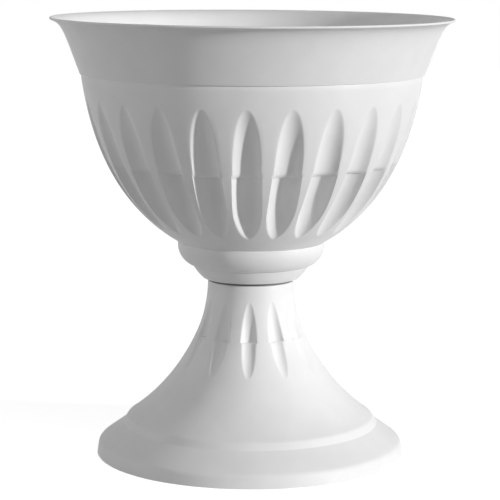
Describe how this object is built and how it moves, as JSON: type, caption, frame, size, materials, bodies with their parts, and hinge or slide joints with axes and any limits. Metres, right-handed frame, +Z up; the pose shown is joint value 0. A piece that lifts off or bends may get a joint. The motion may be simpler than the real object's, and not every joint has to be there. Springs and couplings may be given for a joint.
{
  "type": "urn planter",
  "caption": "Urn planter with a wide fluted bowl and plain flared rim that lifts off a hollow fluted pedestal on a stepped round foot; a plug closes the bowl's drain hole.",
  "frame": {"origin": "centre of the foot ring on the floor, at the bottom centre of the bounding box", "axes": "+Z up along the axis that both mouldings turn about; -Y towards the viewer, with a flute of each ring straight at the front; +X to the viewer's right"},
  "size_m": [0.4, 0.4, 0.438],
  "materials": {
    "bowl": "satin",
    "pedestal": "satin",
    "plug": "satin"
  },
  "bodies": {
    "pedestal_body": {"pedestal": "pedestal"},
    "bowl_body": {"bowl": "bowl"},
    "plug_body": {"drain_plug": "plug"}
  },
  "joints": [
    {"name": "bowl_lift", "type": "slide", "parent": "pedestal_body", "child": "bowl_body", "axis": [0, 0, 1], "range_m": [0, 0.06]},
    {"name": "plug_pull", "type": "slide", "parent": "bowl_body", "child": "plug_body", "axis": [0, 0, 1], "range_m": [0, 0.28]}
  ]
}
